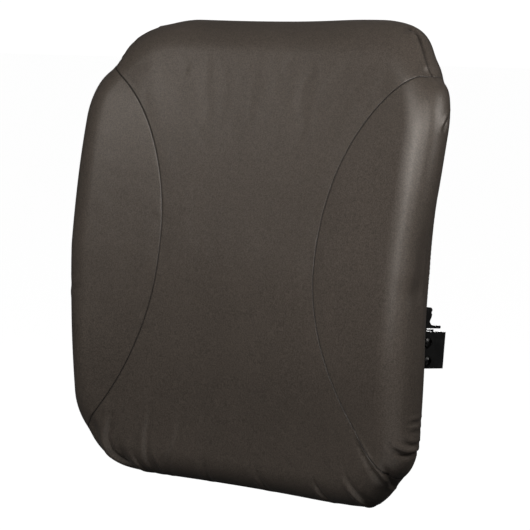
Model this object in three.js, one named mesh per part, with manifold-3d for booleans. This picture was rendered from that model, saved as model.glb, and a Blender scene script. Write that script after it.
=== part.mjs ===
// Wheelchair back support: a contoured cushion with a fitted cover on a formed aluminium pan,
// carried by two quick-release side plates with depth, height and angle adjustment.
// Millimetres. +X to the viewer's right from the front, +Y to the rear, +Z up.
// The origin is midway between the two side plates, on the back-angle pivot axis.
import * as THREE from 'three';
import { mergeVertices } from 'three/addons/utils/BufferGeometryUtils.js';
import Module from 'manifold-3d';

const wasm = await Module();
wasm.setup();

// ---- cushion form ----
const HALF_WIDTH = 228.5;
const HEIGHT = 497;
const THICKNESS = 50;
const SIDE_FORWARD = 25; // how far the side edges stand forward of the middle
const SIDE_POWER = 2.19;
const LUMBAR = { rise: 8, z: 150, spread: 80 };
const BEND = { angle: 20, z: 330, blend: 60 }; // the upper part leans back
const CORNER_TOP = 110;
const CORNER_BOTTOM = 87;
const TAPER_BOTTOM = 0.057;
const FRONT_ROUND = 35;
const REAR_ROUND = 15;

// ---- seams between the middle panel and the two side panels ----
// Each is a power curve below the waist and a quarter of an ellipse above it.
const SEAM = { waistX: 101, waistZ: 258, spread: 121.4, reach: 225, power: 2.1, across: 155, rise: 201 };
const SEAM_GAP = 0.3;
const CLEAR = 0.3; // between pieces that touch in the real object

// ---- layers, as depths in from the cover's outer skin ----
const COVER = 2;
const PAD_INSET = COVER + CLEAR;
const COMFORT_DEPTH = 17;
const HEM = 34;
const BINDING = { width: 4, proud: 0.5, depth: 2.5 };
const PAN = { inset: 17, rear: 4.1, thick: 3 };
const TRIM = { inset: 13.8, width: 7, rear: 3.1, front: 8.1, slotGrow: 0.25 };
const STRIP = { rear: 7.4, thick: 1.1, halfWidth: 150, height: 45, z: [95, 375] };
const FOAM_REAR = 9.1;
const FOAM_REAR_ROUND = 9;
const LUMBAR_PAD = { halfWidth: 105, halfHeight: 62, thick: 10, z: 165 };

// ---- mounting hardware, given for the right side and mirrored for the left ----
const PIVOT = { y: 24, z: 151.5 };
const BOLT_PITCH = 19.5;
const PLATE_TILT = 6.5; // rest setting of the side plate against the bracket
const PLATE = { inner: 184, outer: 190, front: -24, rear: 33, bottom: -8, top: 30 };
const EAR = { radius: 8.5 };
const PIN_SLOT = { u: -15.5, halfWidth: 4.2, top: 10 };
const ARC_SLOT = { reach: 16, halfWidth: 3.25 };
const LEVER = {
  inner: 179.6, outer: 183.6, pivotU: -13, pivotV: 40, hole: 2.7,
  tailEnd: 31.5, tailMid: 34.5, tailHalf: 1.5,
};
const RIVET = { pin: 2.5, head: 4, headHeight: 1.6, innerEnd: 172.8 };
const SPRING = { turns: 3, radius: 3.9, wire: 0.55, start: 175.6, pitch: 1.1, leg: 5 };
const SHOE = { inner: 179.4, outer: 183.7, halfLength: 8, bottom: -7, top: 26 };
const FLANGE = { inner: 174, outer: 179, rear: 54, bottom: 141, top: 180 };
const DEPTH_SLOT = { front: 18.8, rear: 44.2, halfWidth: 3.25 };
const BASE = { inner: 124, thick: 5, boltX: [136, 160], touchX: 150 };
const HEIGHT_TRAVEL = 15;
const BOLT = {
  shank: 3, hole: 3.2, head: 5.6, headHeight: 3.4, nut: 5.77, nutHeight: 5, nutPlay: 0.15,
  washer: 6.5, panHead: 2.4, socket: 2.4,
};
const PAN_SLOT_HALF = 4.2;
const PAN_HEAD_SEAT = 5.2; // from the bracket's face through the pan to the bolt's head
const PAN_VENT = { halfLength: 34, halfWidth: 6, x: 48, z: [238, 290] };

const ROUND = 16; // segments of a small round feature
const RIM = { corner: 5, side: 4, top: 3 }; // steps round the outline
const INNER = { inset: 40, scales: [1, 0.74, 0.48, 0.22] }; // rings shared by every layer

const rad = THREE.MathUtils.degToRad;

// ---- surfaces of the cushion ----
function spine(z) {
  const lean = Math.tan(rad(BEND.angle)) * BEND.blend;
  return lean * Math.log1p(Math.exp((z - BEND.z) / BEND.blend));
}

function rearSurface(x, z) {
  return spine(z) - SIDE_FORWARD * (x / HALF_WIDTH) ** 2;
}

function frontSurface(x, z) {
  const side = SIDE_FORWARD * Math.abs(x / HALF_WIDTH) ** SIDE_POWER;
  const lumbar = LUMBAR.rise * Math.exp(-(((z - LUMBAR.z) / LUMBAR.spread) ** 2));
  return spine(z) - THICKNESS - side - lumbar;
}

function taper(z) {
  return 1 - TAPER_BOTTOM * THREE.MathUtils.clamp(1 - (2 * z) / HEIGHT, 0, 1);
}

// Closed outline in X and Z, anticlockwise from the bottom middle, moved in by `inset`.
function outline(inset) {
  const w = HALF_WIDTH - inset;
  const top = HEIGHT - inset;
  const rTop = CORNER_TOP - inset;
  const rBottom = CORNER_BOTTOM - inset;
  const half = [];
  for (let i = 0; i < RIM.top; i++) half.push([((w - rBottom) * i) / RIM.top, inset]);
  for (let i = 0; i < RIM.corner; i++) {
    const a = rad(-90 + (90 * i) / RIM.corner);
    half.push([w - rBottom + rBottom * Math.cos(a), inset + rBottom + rBottom * Math.sin(a)]);
  }
  const low = inset + rBottom;
  for (let i = 0; i < RIM.side; i++) half.push([w, low + ((top - rTop - low) * i) / RIM.side]);
  for (let i = 0; i < RIM.corner; i++) {
    const a = rad((90 * i) / RIM.corner);
    half.push([w - rTop + rTop * Math.cos(a), top - rTop + rTop * Math.sin(a)]);
  }
  for (let i = 0; i <= RIM.top; i++) half.push([((w - rTop) * (RIM.top - i)) / RIM.top, top]);
  const other = half.slice(1, -1).reverse().map(([x, z]) => [-x, z]);
  return [...half, ...other].map(([x, z]) => [x * taper(z), z]);
}

// A closed slab between two depth functions, with rounded front and rear edges.
function slab({ inset, front, rear, frontRound = 0, rearRound = 0 }) {
  const rings = [];
  const middle = HEIGHT / 2;
  const ring = (points, depth, shift) => rings.push(points.map(([x, z]) => [x, depth(x, z) + shift, z]));
  const face = (depth) => INNER.scales.forEach((s) => {
    ring(outline(INNER.inset).map(([x, z]) => [x * s, middle + (z - middle) * s]), depth, 0);
  });
  face(front);
  rings.reverse();
  const [frontSteps, rearSteps] = [frontRound ? 3 : 0, rearRound ? 2 : 0];
  for (let i = 0; i <= frontSteps; i++) {
    const a = frontSteps ? rad((90 * i) / frontSteps) : 0;
    ring(outline(inset + frontRound * (1 - Math.sin(a))), front, frontRound * (1 - Math.cos(a)));
  }
  const rim = rings.length; // quads behind the rim split the other way, so that layers nest
  for (let i = 0; i <= rearSteps; i++) {
    const a = rearSteps ? rad((90 * i) / rearSteps) : rad(90);
    ring(outline(inset + rearRound * (1 - Math.cos(a))), rear, rearRound * (Math.sin(a) - 1));
  }
  face(rear);
  const count = rings[0].length;
  const positions = rings.flat(2);
  const first = positions.length / 3;
  positions.push(0, front(0, middle), middle, 0, rear(0, middle), middle);
  const index = [];
  for (let r = 0; r + 1 < rings.length; r++) {
    for (let k = 0; k < count; k++) {
      const n = (k + 1) % count;
      const [a, b, c, d] = [r * count + k, r * count + n, (r + 1) * count + k, (r + 1) * count + n];
      index.push(...(r < rim ? [a, c, b, b, c, d] : [a, c, d, a, d, b]));
    }
  }
  const last = (rings.length - 1) * count;
  for (let k = 0; k < count; k++) {
    const n = (k + 1) % count;
    index.push(first, k, n, first + 1, last + n, last + k);
  }
  const geometry = new THREE.BufferGeometry();
  geometry.setAttribute('position', new THREE.Float32BufferAttribute(positions, 3));
  geometry.setIndex(index);
  return geometry;
}

// ---- joining and cutting ----
function solid(geometry) {
  const plain = geometry.clone();
  plain.deleteAttribute('normal');
  plain.deleteAttribute('uv');
  const merged = mergeVertices(plain, 1e-4);
  return new wasm.Manifold(
    new wasm.Mesh({
      numProp: 3,
      vertProperties: new Float32Array(merged.attributes.position.array),
      triVerts: new Uint32Array(merged.index.array),
    }),
  );
}

function surface(body) {
  const mesh = body.getMesh();
  const geometry = new THREE.BufferGeometry();
  geometry.setAttribute('position', new THREE.Float32BufferAttribute(mesh.vertProperties, 3));
  geometry.setIndex(Array.from(mesh.triVerts));
  return geometry;
}

// ---- simple pieces ----
function box(x0, x1, y0, y1, z0, z1) {
  const geometry = new THREE.BoxGeometry(x1 - x0, y1 - y0, z1 - z0);
  return geometry.translate((x0 + x1) / 2, (y0 + y1) / 2, (z0 + z1) / 2);
}

const shapeOf = (points, holes = []) => {
  const shape = new THREE.Shape(points.map(([a, b]) => new THREE.Vector2(a, b)));
  shape.holes = holes.map((hole) => new THREE.Path(hole.map(([a, b]) => new THREE.Vector2(a, b))));
  return shape;
};

// Flat piece from an outline in Y and Z, with its two faces at x0 and x1.
function platePiece(points, x0, x1, holes) {
  const shape = shapeOf(points, holes);
  const geometry = new THREE.ExtrudeGeometry(shape, { depth: x1 - x0, bevelEnabled: false, steps: 1 });
  const turn = new THREE.Matrix4().makeBasis(
    new THREE.Vector3(0, 1, 0), new THREE.Vector3(0, 0, 1), new THREE.Vector3(1, 0, 0));
  return geometry.applyMatrix4(turn).translate(x0, 0, 0);
}

// Points on an arc, in degrees.
function arc(cx, cy, r, from, to, steps) {
  return Array.from({ length: steps + 1 }, (_, i) => {
    const a = rad(from + ((to - from) * i) / steps);
    return [cx + r * Math.cos(a), cy + r * Math.sin(a)];
  });
}

// Long hole outline between two end centres that lie on one level or one upright.
function slotOutline(a, b, r) {
  const heading = THREE.MathUtils.radToDeg(Math.atan2(b[1] - a[1], b[0] - a[0]));
  return [
    ...arc(b[0], b[1], r, heading - 90, heading + 90, ROUND / 4),
    ...arc(a[0], a[1], r, heading + 90, heading + 270, ROUND / 4),
  ];
}

// Turned piece whose axis is X, from [radius, x] pairs.
function turned(profile, y, z, segments = ROUND) {
  const geometry = new THREE.LatheGeometry(profile.map(([r, x]) => new THREE.Vector2(r, x)), segments);
  return geometry.rotateZ(-Math.PI / 2).translate(0, y, z);
}

function sideMirror(geometry, side) {
  if (side > 0) return geometry;
  const mirrored = geometry.index ? geometry.toNonIndexed() : geometry.clone();
  mirrored.deleteAttribute('normal');
  mirrored.deleteAttribute('uv');
  const p = mirrored.attributes.position;
  for (let i = 0; i < p.count; i += 3) {
    const a = [p.getX(i + 1), p.getY(i + 1), p.getZ(i + 1)];
    p.setXYZ(i + 1, p.getX(i + 2), p.getY(i + 2), p.getZ(i + 2));
    p.setXYZ(i + 2, ...a);
  }
  for (let i = 0; i < p.count; i++) p.setX(i, -p.getX(i));
  return mergeVertices(mirrored, 1e-4);
}

// ---- materials ----
const paint = (color, roughness, metalness = 0) =>
  new THREE.MeshStandardMaterial({ color, roughness, metalness });
const COVER_CLOTH = paint(0x453e3a, 0.75);
const ELASTIC = paint(0x1c1b1a, 0.85);
const SOFT_FOAM = paint(0xd8d2bd, 0.95);
const FIRM_FOAM = paint(0x6d7480, 0.95);
const HOOK_TAPE = paint(0x161616, 0.95);
const RUBBER = paint(0x1a1a1a, 0.7);
const COATED = paint(0x1b1b1a, 0.55, 0.3);
const MOULDED = paint(0x141414, 0.5);
const STEEL = paint(0x8d8f92, 0.35, 0.9);
const BLACK_STEEL = paint(0x2a2a2b, 0.4, 0.7);

const group = new THREE.Group();
group.name = 'wheelchair_back_support';

function add(name, geometry, material) {
  const mesh = new THREE.Mesh(geometry, material);
  mesh.name = name;
  geometry.translate(0, -PIVOT.y, -PIVOT.z);
  geometry.computeVertexNormals();
  group.add(mesh);
}

const inFrom = (depth) => (x, z) => rearSurface(x, z) - depth;
const backFrom = (depth) => (x, z) => frontSurface(x, z) + depth;

// ---- seam cutters ----
function seamLine() {
  const steps = 9;
  const share = Array.from({ length: steps }, (_, i) => i / steps);
  const low = share.map((t) => {
    const z = SEAM.waistZ - SEAM.reach * (1 - t);
    return [(SEAM.waistX + SEAM.spread * (1 - t) ** SEAM.power) * taper(z), z];
  });
  const high = [...share, 1].map((t) => {
    const turn = rad(90 * t);
    return [SEAM.waistX + SEAM.across * (1 - Math.cos(turn)), SEAM.waistZ + SEAM.rise * Math.sin(turn)];
  });
  return [...low, ...high];
}

// Prism of an outline in X and Z, running right through from front to rear.
function throughY(points) {
  const reach = 400;
  const prism = new THREE.ExtrudeGeometry(shapeOf(points), { depth: reach, bevelEnabled: false });
  return prism.rotateX(Math.PI / 2).translate(0, reach / 2, 0);
}

// Everything outboard of a seam that is moved outboard by `shift`.
function outboard(side, shift) {
  const line = seamLine();
  const moved = line.map(([x, z], i) => {
    const [before, after] = [line[Math.max(i - 1, 0)], line[Math.min(i + 1, line.length - 1)]];
    const [dx, dz] = [after[0] - before[0], after[1] - before[1]];
    const size = Math.hypot(dx, dz);
    return [x + (shift * dz) / size, z - (shift * dx) / size];
  });
  const far = HALF_WIDTH + 60;
  moved.push([far, moved[moved.length - 1][1]], [far, moved[0][1]]);
  return solid(sideMirror(throughY(moved), side));
}

const outerCut = { 1: outboard(1, SEAM_GAP / 2), [-1]: outboard(-1, SEAM_GAP / 2) };
const middleCut = { 1: outboard(1, -SEAM_GAP / 2), [-1]: outboard(-1, -SEAM_GAP / 2) };
const middleOf = (body) => body.subtract(middleCut[1]).subtract(middleCut[-1]);
const sideOf = (body, side) => body.intersect(outerCut[side]);
const SIDES = [['right', 1], ['left', -1]];

// ---- cover ----
const outerSkin = solid(slab({
  inset: 0, front: backFrom(0), rear: inFrom(0), frontRound: FRONT_ROUND, rearRound: REAR_ROUND,
}));
const innerSkin = solid(slab({
  inset: COVER, front: backFrom(COVER), rear: inFrom(COVER),
  frontRound: FRONT_ROUND - COVER, rearRound: REAR_ROUND - COVER,
}));
const rearMouth = (inset) =>
  solid(slab({ inset, front: inFrom(20), rear: inFrom(-20) }));
const cover = outerSkin.subtract(innerSkin).subtract(rearMouth(HEM));
add('cover_middle_panel', surface(middleOf(cover)), COVER_CLOTH);
SIDES.forEach(([side, s]) => add(`cover_side_panel_${side}`, surface(sideOf(cover, s)), COVER_CLOTH));
const binding = solid(slab({
  inset: HEM + CLEAR, front: inFrom(BINDING.depth), rear: inFrom(-BINDING.proud),
})).subtract(rearMouth(HEM + CLEAR + BINDING.width));
add('cover_elastic_binding', surface(binding), ELASTIC);

// ---- foam ----
const foam = solid(slab({
  inset: PAD_INSET, front: backFrom(PAD_INSET), rear: inFrom(FOAM_REAR),
  frontRound: FRONT_ROUND - PAD_INSET, rearRound: FOAM_REAR_ROUND,
}));
const behind = (depth) => solid(slab({ inset: -8, front: backFrom(depth), rear: inFrom(-30) }));
add('foam_comfort_layer', surface(foam.subtract(behind(COMFORT_DEPTH))), SOFT_FOAM);

// Low dome let into the foam's rear. `grow` enlarges it and `back` runs it out behind, as the
// cutter of its own pocket.
function lumbarPad(grow, back) {
  const rise = arc(0, 0, 1, 0, 90, 4).map(([r, h]) => [r, h * (LUMBAR_PAD.thick + grow)]);
  const base = back ? [[0, -back], [1, -back]] : [[0, 0]];
  rise[rise.length - 1][0] = 0;
  const dome = new THREE.LatheGeometry([...base, ...rise].map(([r, h]) => new THREE.Vector2(r, h)), 24);
  dome.scale(LUMBAR_PAD.halfWidth + grow, 1, LUMBAR_PAD.halfHeight + grow);
  return dome.rotateZ(Math.PI).translate(0, rearSurface(0, LUMBAR_PAD.z) - FOAM_REAR - 4, LUMBAR_PAD.z);
}

const boltLevel = PIVOT.z + BOLT_PITCH / 2;
const pocketHalf = HEIGHT_TRAVEL + BOLT.washer + 3;
const firm = foam.intersect(behind(COMFORT_DEPTH + CLEAR));
add('foam_core', surface(middleOf(firm).subtract(solid(lumbarPad(CLEAR, 20)))), FIRM_FOAM);
add('lumbar_pad', lumbarPad(0, 0), SOFT_FOAM);
SIDES.forEach(([side, s]) => {
  const [near, far] = [BASE.boltX[0] - BOLT.washer - 3, BASE.boltX[1] + BOLT.washer + 3];
  const floor = rearSurface(far, boltLevel) - FOAM_REAR - 5;
  const pocket = box(near, far, floor, 40, boltLevel - pocketHalf, boltLevel + pocketHalf);
  add(`foam_bolster_${side}`, surface(sideOf(firm, s).subtract(solid(sideMirror(pocket, s)))), FIRM_FOAM);
});

// ---- pan, its edge trim and the hook-and-loop strips ----
const panSlab = (grow) => solid(slab({
  inset: PAN.inset - grow, front: inFrom(PAN.rear + PAN.thick + grow), rear: inFrom(PAN.rear - grow),
}));
const heightSlots = SIDES.flatMap(([, s]) => BASE.boltX.map((x) => throughY(slotOutline(
  [s * x, boltLevel - HEIGHT_TRAVEL], [s * x, boltLevel + HEIGHT_TRAVEL], PAN_SLOT_HALF))));
const vents = SIDES.flatMap(([, s]) => PAN_VENT.z.map((z) => {
  const [near, far] = [-1, 1].map((end) => [s * PAN_VENT.x + end * PAN_VENT.halfLength, z]);
  return throughY(slotOutline(near, far, PAN_VENT.halfWidth));
}));
const pan = [...heightSlots, ...vents].reduce((body, hole) => body.subtract(solid(hole)), panSlab(0));
add('pan', surface(pan), COATED);
const trim = solid(slab({ inset: TRIM.inset, front: inFrom(TRIM.front), rear: inFrom(TRIM.rear) }))
  .subtract(rearMouth(TRIM.inset + TRIM.width))
  .subtract(panSlab(TRIM.slotGrow));
add('pan_edge_trim', surface(trim), RUBBER);
const strips = solid(slab({
  inset: PAN.inset, front: inFrom(STRIP.rear + STRIP.thick), rear: inFrom(STRIP.rear),
}));
['lower', 'upper'].forEach((place, i) => {
  const z = STRIP.z[i];
  const band = box(-STRIP.halfWidth, STRIP.halfWidth, -100, 100, z - STRIP.height / 2, z + STRIP.height / 2);
  add(`hook_strip_${place}`, surface(strips.intersect(solid(band))), HOOK_TAPE);
});

// ---- mounting hardware ----
const hexagon = (r) => arc(0, 0, r, 0, 360, 6).slice(1);

function hexNut(x0, x1, y, z) {
  const hole = arc(0, 0, BOLT.shank + BOLT.nutPlay, 360, 0, 12).slice(1);
  return platePiece(hexagon(BOLT.nut), x0, x1, [hole]).translate(0, y, z);
}

// Screw along X with its head outboard: the seat of the head is at `seat`, the tip at `tip`.
function screw(seat, tip, y, z, headRadius, headHeight) {
  const crown = headRadius * 0.6;
  return turned([
    [0, tip], [BOLT.shank - 0.5, tip], [BOLT.shank, tip + 0.6], [BOLT.shank, seat], [headRadius, seat],
    [headRadius, seat + headHeight * 0.45], [crown, seat + headHeight], [0, seat + headHeight],
  ], y, z);
}

const baseSlope = (-2 * SIDE_FORWARD * BASE.touchX) / HALF_WIDTH ** 2;
const baseAngle = Math.atan(baseSlope);
const baseRear = rearSurface(BASE.touchX, FLANGE.top + HEIGHT_TRAVEL) - PAN.rear + 2 * CLEAR;
const baseFace = (x) => baseRear + baseSlope * (x - BASE.touchX);

function bracket() {
  const bend = 7;
  const corner = baseFace(FLANGE.outer);
  const sheet = shapeOf([
    [BASE.inner, baseFace(BASE.inner)], [FLANGE.outer - bend, baseFace(FLANGE.outer - bend)],
    ...arc(FLANGE.outer - bend, corner + bend + 1, bend, -75, 0, 3),
    [FLANGE.outer, FLANGE.rear], [FLANGE.inner, FLANGE.rear],
    [FLANGE.inner, corner + bend + 1], [FLANGE.inner - 2, baseFace(FLANGE.inner - 2) + BASE.thick],
    [BASE.inner, baseFace(BASE.inner) + BASE.thick],
  ]);
  const body = new THREE.ExtrudeGeometry(sheet, { depth: FLANGE.top - FLANGE.bottom, bevelEnabled: false });
  body.translate(0, 0, FLANGE.bottom);
  const slots = [PIVOT.z, PIVOT.z + BOLT_PITCH].map((z) => platePiece(
    slotOutline([DEPTH_SLOT.front, z], [DEPTH_SLOT.rear, z], DEPTH_SLOT.halfWidth),
    FLANGE.inner - 5, FLANGE.outer + 5));
  const holes = BASE.boltX.map((x) => alongBase(
    turned([[0, -8], [BOLT.hole, -8], [BOLT.hole, 12], [0, 12]], 0, 0), x));
  return surface([...slots, ...holes].reduce((b, cut) => b.subtract(solid(cut)), solid(body)));
}

// Turns a piece built along X so that it stands square to the bracket's base at x.
function alongBase(geometry, x) {
  return geometry.rotateZ(Math.PI / 2 + baseAngle).translate(x, baseFace(x), boltLevel);
}

// Turns and places a piece drawn in the side plate's own frame.
const inPlate = (geometry) => geometry.rotateX(-rad(PLATE_TILT)).translate(0, PIVOT.y, PIVOT.z);

function sidePlate() {
  const slotFloor = PIN_SLOT.top - PIN_SLOT.halfWidth;
  const points = [
    [PLATE.rear, PLATE.bottom], [PLATE.rear, PLATE.top], [LEVER.pivotU + EAR.radius, PLATE.top],
    ...arc(LEVER.pivotU, LEVER.pivotV, EAR.radius, 0, 180, ROUND / 2),
    [PLATE.front, PLATE.top], [PLATE.front, PLATE.bottom],
    [PIN_SLOT.u - PIN_SLOT.halfWidth, PLATE.bottom],
    ...arc(PIN_SLOT.u, slotFloor, PIN_SLOT.halfWidth, 180, 0, ROUND / 2),
    [PIN_SLOT.u + PIN_SLOT.halfWidth, PLATE.bottom],
  ];
  const [from, to] = [90 - ARC_SLOT.reach, 90 + ARC_SLOT.reach];
  const end = (a, turn) => {
    const [u, v] = [BOLT_PITCH * Math.cos(rad(a)), BOLT_PITCH * Math.sin(rad(a))];
    return arc(u, v, ARC_SLOT.halfWidth, a + turn, a + turn + 180, ROUND / 4);
  };
  const arcSlot = [
    ...arc(0, 0, BOLT_PITCH + ARC_SLOT.halfWidth, from, to, 6).slice(1, -1), ...end(to, 0),
    ...arc(0, 0, BOLT_PITCH - ARC_SLOT.halfWidth, to, from, 6).slice(1, -1), ...end(from, 180),
  ];
  const holes = [
    arc(0, 0, BOLT.hole, 360, 0, ROUND).slice(1),
    arcSlot.reverse(),
    arc(LEVER.pivotU, LEVER.pivotV, LEVER.hole, 360, 0, ROUND).slice(1),
  ];
  return inPlate(platePiece(points, PLATE.inner, PLATE.outer, holes));
}

// Release lever: a thumb tail over the plate, a notched grip above it and a nose that closes
// the pin slot from below.
function lever() {
  const points = [
    ...arc(LEVER.tailEnd, LEVER.tailMid, LEVER.tailHalf, -90, 90, 4),
    [15, 36.4], [12.8, 37.6], [10.6, 39.6], [11.2, 41.5], [13.2, 44.4], [14, 47.7],
    ...arc(14.2, 49.4, 1.7, 263, 97, 4),
    [13.6, 53], [11, 54.6], [4, 54.9], [-8, 52], [-17, 49], [-21.5, 44], [-23, 37], [-25, 20],
    [-25.5, -3], [-23, -6], [-12, -6], [-11, -5], [-11, 1.3], [-20.2, 1.3], [-20.2, 12], [-18.2, 28],
    [-8, 31.6], [-4, 33],
  ];
  const hole = arc(LEVER.pivotU, LEVER.pivotV, LEVER.hole, 360, 0, ROUND).slice(1);
  return inPlate(platePiece(points, LEVER.inner, LEVER.outer, [hole]));
}

function shoe() {
  const holes = [0, BOLT_PITCH].map((v) => arc(0, v, BOLT.hole, 360, 0, ROUND).slice(1));
  const { halfLength: l, bottom, top } = SHOE;
  const points = [[l, bottom], [l, top], [-l, top], [-l, bottom]];
  return platePiece(points, SHOE.inner, SHOE.outer, holes).translate(0, PIVOT.y, PIVOT.z);
}

function rivet() {
  const { pin, head, headHeight } = RIVET;
  return inPlate(turned([
    [0, RIVET.innerEnd], [head, RIVET.innerEnd], [head, RIVET.innerEnd + headHeight],
    [pin, RIVET.innerEnd + headHeight], [pin, PLATE.outer + CLEAR], [head, PLATE.outer + CLEAR],
    [head, PLATE.outer + CLEAR + headHeight], [0, PLATE.outer + CLEAR + headHeight],
  ], LEVER.pivotU, LEVER.pivotV));
}

// Torsion spring round the rivet, with one leg down the lever's arm and one to the rear.
function spring() {
  const { turns, radius, wire, start, pitch, leg } = SPRING;
  const coil = Array.from({ length: turns * 10 + 1 }, (_, i) => {
    const a = rad(i * 36 + 180);
    return new THREE.Vector3(start + (pitch * i) / 10, radius * Math.cos(a), radius * Math.sin(a));
  });
  const [first, last] = [coil[0], coil[coil.length - 1]];
  const path = [new THREE.Vector3(first.x, first.y, first.z + leg), ...coil,
    new THREE.Vector3(last.x, last.y, last.z - leg)];
  const section = shapeOf(arc(0, 0, wire, 0, 360, 6).slice(1));
  const tube = new THREE.ExtrudeGeometry(section, {
    steps: 54, extrudePath: new THREE.CatmullRomCurve3(path), bevelEnabled: false,
  });
  return inPlate(tube.translate(0, LEVER.pivotU, LEVER.pivotV));
}

SIDES.forEach(([side, s]) => {
  const place = (name, geometry, material) => add(`${name}_${side}`, sideMirror(geometry, s), material);
  place('bracket', bracket(), COATED);
  place('side_plate', sidePlate(), COATED);
  place('guide_shoe', shoe(), MOULDED);
  place('latch_lever', lever(), MOULDED);
  place('latch_rivet', rivet(), BLACK_STEEL);
  place('latch_spring', spring(), STEEL);
  BASE.boltX.forEach((x, i) => {
    const nutSeat = BASE.thick + CLEAR;
    const bolt = screw(PAN_HEAD_SEAT, -(nutSeat + BOLT.nutHeight + 1), 0, 0, BOLT.washer, BOLT.panHead);
    place(`pan_bolt_${i + 1}`, alongBase(bolt.rotateZ(Math.PI), x), BLACK_STEEL);
    place(`pan_nut_${i + 1}`, alongBase(hexNut(nutSeat, nutSeat + BOLT.nutHeight, 0, 0), x), BLACK_STEEL);
  });
  ['pivot', 'clamp'].forEach((kind, i) => {
    const z = PIVOT.z + i * BOLT_PITCH;
    const nutSeat = FLANGE.inner - CLEAR;
    const seat = PLATE.outer + CLEAR;
    const blank = screw(seat, nutSeat - BOLT.nutHeight - 1, PIVOT.y, z, BOLT.head, BOLT.headHeight);
    const socket = platePiece(hexagon(BOLT.socket), seat + BOLT.headHeight / 3, seat + BOLT.headHeight + 1);
    const bolt = solid(blank).subtract(solid(socket.translate(0, PIVOT.y, z)));
    place(`${kind}_bolt`, surface(bolt), BLACK_STEEL);
    place(`${kind}_nut`, hexNut(nutSeat - BOLT.nutHeight, nutSeat, PIVOT.y, z), BLACK_STEEL);
  });
});

export default group;
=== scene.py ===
"""Wheelchair back support: the detailed cover, foam and finishes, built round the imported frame."""
import math

import bpy
import numpy as np
from mathutils import Matrix, Vector
from mathutils.bvhtree import BVHTree
from mathutils.geometry import delaunay_2d_cdt


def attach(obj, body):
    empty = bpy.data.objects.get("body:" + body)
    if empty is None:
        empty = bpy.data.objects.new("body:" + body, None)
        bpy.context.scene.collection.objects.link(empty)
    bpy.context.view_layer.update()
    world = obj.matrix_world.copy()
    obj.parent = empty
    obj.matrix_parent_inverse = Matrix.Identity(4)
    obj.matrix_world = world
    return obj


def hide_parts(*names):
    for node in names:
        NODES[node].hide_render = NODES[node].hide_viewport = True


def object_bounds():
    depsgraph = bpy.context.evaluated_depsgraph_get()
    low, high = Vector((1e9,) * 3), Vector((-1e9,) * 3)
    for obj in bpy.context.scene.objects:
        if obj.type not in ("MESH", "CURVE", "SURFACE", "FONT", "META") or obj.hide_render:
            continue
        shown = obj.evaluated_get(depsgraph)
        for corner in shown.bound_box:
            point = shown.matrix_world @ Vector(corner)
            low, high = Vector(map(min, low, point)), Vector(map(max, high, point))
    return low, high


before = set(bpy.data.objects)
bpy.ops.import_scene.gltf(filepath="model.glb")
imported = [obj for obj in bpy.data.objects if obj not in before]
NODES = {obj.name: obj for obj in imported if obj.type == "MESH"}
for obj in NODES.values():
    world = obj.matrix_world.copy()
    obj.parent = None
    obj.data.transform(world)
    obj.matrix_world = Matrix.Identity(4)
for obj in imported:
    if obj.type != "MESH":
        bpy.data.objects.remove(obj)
CAD_LO, CAD_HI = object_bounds()
MM = 0.001
SIDES = (("right", 1), ("left", -1))

# ---- camera: orbit angles, distance and lens of the view ----
PIVOT_Y, PIVOT_Z = 24 * MM, 151.5 * MM  # the part's origin in the cushion's own coordinates
SHIFT = np.array([0.0, -PIVOT_Y, -PIVOT_Z])
AZIMUTH, ELEVATION, ROLL = math.radians(35.94), math.radians(6.375), math.radians(0.869)
DISTANCE, LENS = 2.357, 150.69
TARGET = Vector((0.0008, -PIVOT_Y, 0.23771 - PIVOT_Z))


def away_from_front(azimuth, elevation):
    """Unit direction from the object out to a camera or a light."""
    level = math.cos(elevation)
    return Vector((math.sin(azimuth) * level, -math.cos(azimuth) * level, math.sin(elevation)))


def make_camera():
    back = away_from_front(AZIMUTH, ELEVATION)
    right = Vector((math.cos(AZIMUTH), math.sin(AZIMUTH), 0))
    up = back.cross(right)
    across = right * math.cos(ROLL) + up * math.sin(ROLL)
    upright = up * math.cos(ROLL) - right * math.sin(ROLL)
    data = bpy.data.cameras.new("camera")
    data.sensor_width = 36
    data.lens = LENS
    data.clip_start, data.clip_end = 0.05, 100
    camera = bpy.data.objects.new("camera", data)
    bpy.context.scene.collection.objects.link(camera)
    place = Matrix((across, upright, back)).transposed().to_4x4()
    place.translation = TARGET + back * DISTANCE
    camera.matrix_world = place
    bpy.context.scene.camera = camera


make_camera()

# ---- the cushion's form, in its own coordinates: z = 0 at the bottom, y = 0 at the rear ----
HALF_WIDTH, HEIGHT, THICK = 228.5 * MM, 497 * MM, 50 * MM
SIDE_FORWARD, SIDE_POWER = 25 * MM, 2.19
CORNER_TOP, CORNER_BOTTOM, TAPER = 110 * MM, 87 * MM, 0.057
BEND_ANGLE, BEND_Z, BEND_BLEND = math.radians(20), 330 * MM, 60 * MM
LUMBAR_RISE, LUMBAR_Z, LUMBAR_SPREAD = 8 * MM, 150 * MM, 80 * MM
FRONT_ROUND, REAR_ROUND, HEM = 35 * MM, 15 * MM, 34 * MM
FRONT_ARC, REAR_ARC = FRONT_ROUND * math.pi / 2, REAR_ROUND * math.pi / 2
SPAN = FRONT_ARC + REAR_ARC + (HEM - REAR_ROUND)  # cloth from the front face out to the hem
HEM_INSET = FRONT_ROUND - SPAN  # where the hem lies in the laid-flat plane
NORMAL_STEP = 0.4 * MM


def spine(z):
    lean = math.tan(BEND_ANGLE) * BEND_BLEND
    return lean * np.log1p(np.exp((z - BEND_Z) / BEND_BLEND))


def rear_y(x, z):
    return spine(z) - SIDE_FORWARD * (x / HALF_WIDTH) ** 2


def front_y(x, z):
    lumbar = LUMBAR_RISE * np.exp(-(((z - LUMBAR_Z) / LUMBAR_SPREAD) ** 2))
    return spine(z) - THICK - SIDE_FORWARD * np.abs(x / HALF_WIDTH) ** SIDE_POWER - lumbar


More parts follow.
